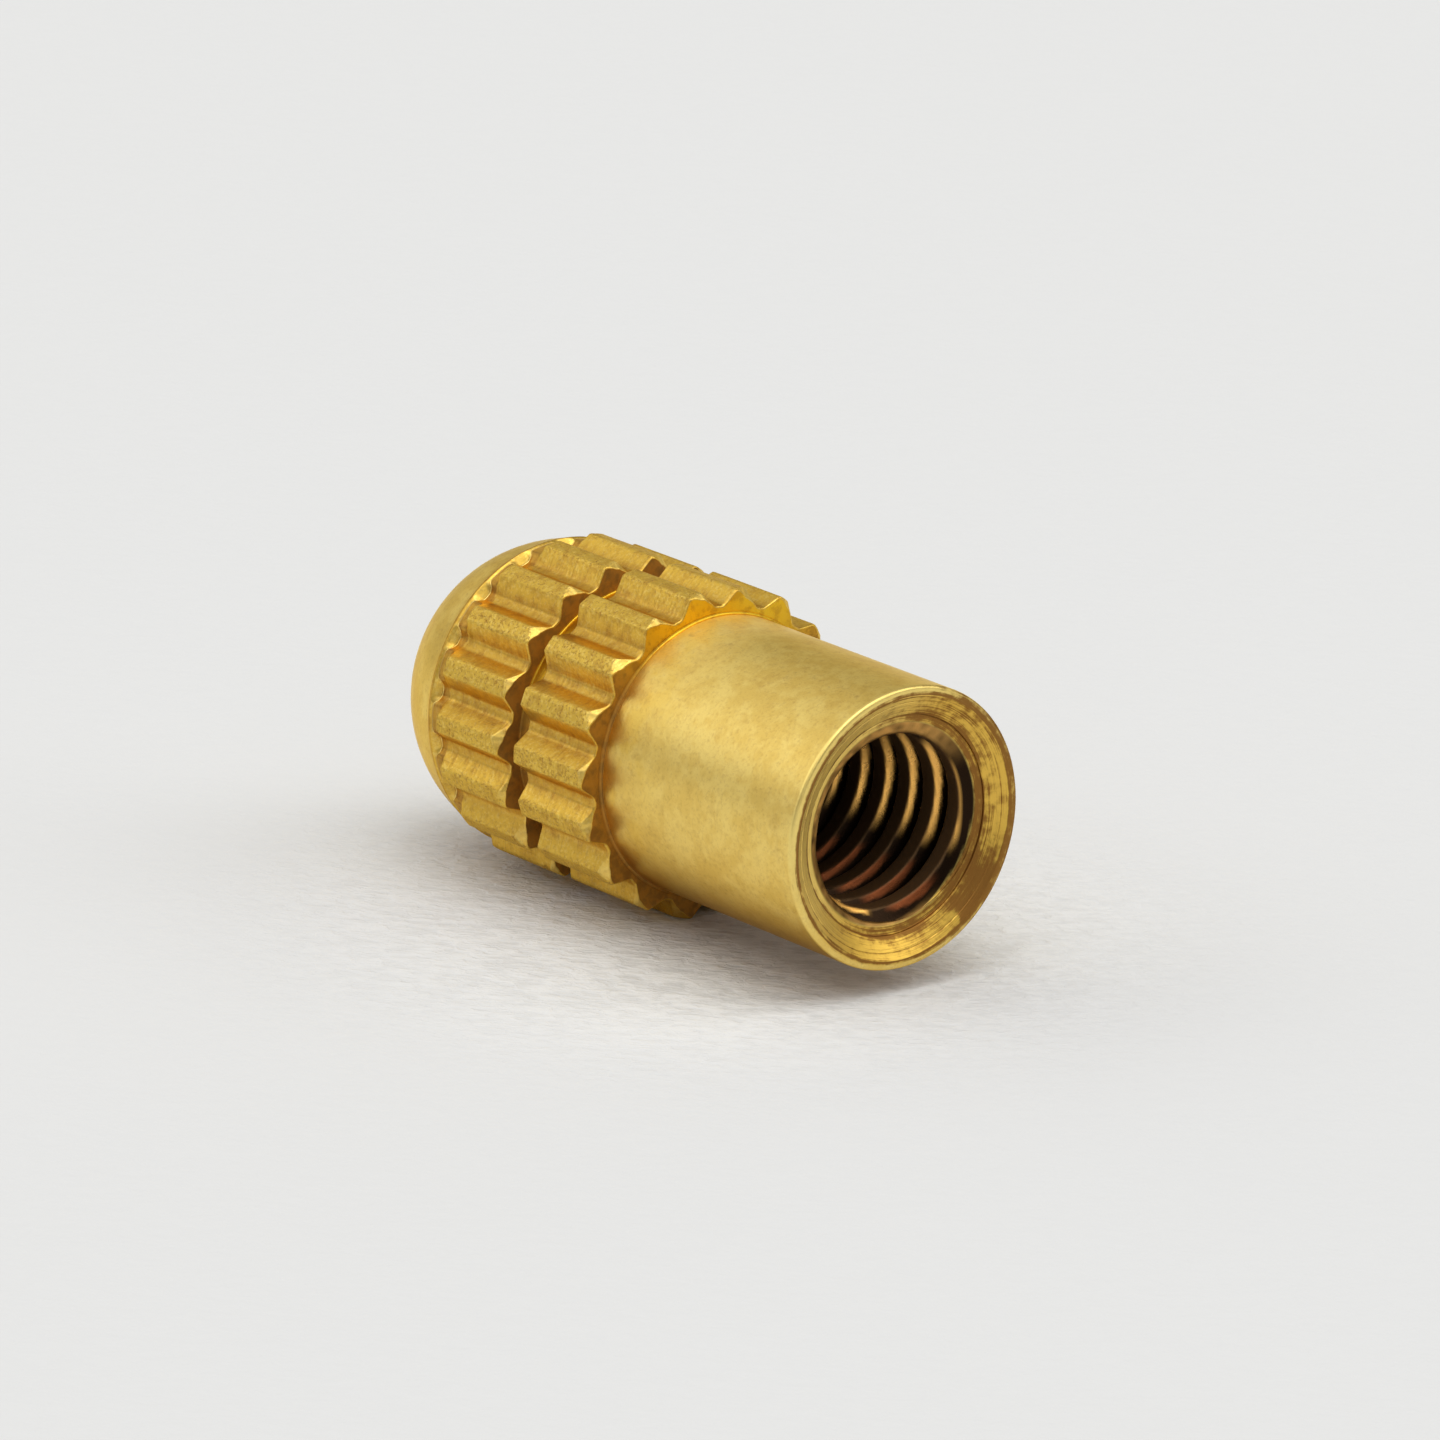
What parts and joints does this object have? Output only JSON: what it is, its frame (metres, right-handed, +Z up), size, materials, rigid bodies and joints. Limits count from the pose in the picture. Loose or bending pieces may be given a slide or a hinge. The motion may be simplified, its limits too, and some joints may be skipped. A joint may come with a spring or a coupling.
{
  "type": "threaded insert",
  "caption": "Blind brass threaded insert with a plain neck, fluted bands parted by a groove, and a domed closed end.",
  "frame": {"origin": "centre of the mouth, on the axis, in the plane of the rim", "axes": "+X along the axis and out of the mouth, +Z up as the insert lies on two ridges of each band"},
  "size_m": [0.0127, 0.0062, 0.0062],
  "materials": {
    "brass": "bare turned brass, satin, finely pitted on the ridges, with darker tarnish in the flutes, the groove and the bore"
  },
  "bodies": {
    "root": {"insert_body": "brass"}
  },
  "joints": []
}
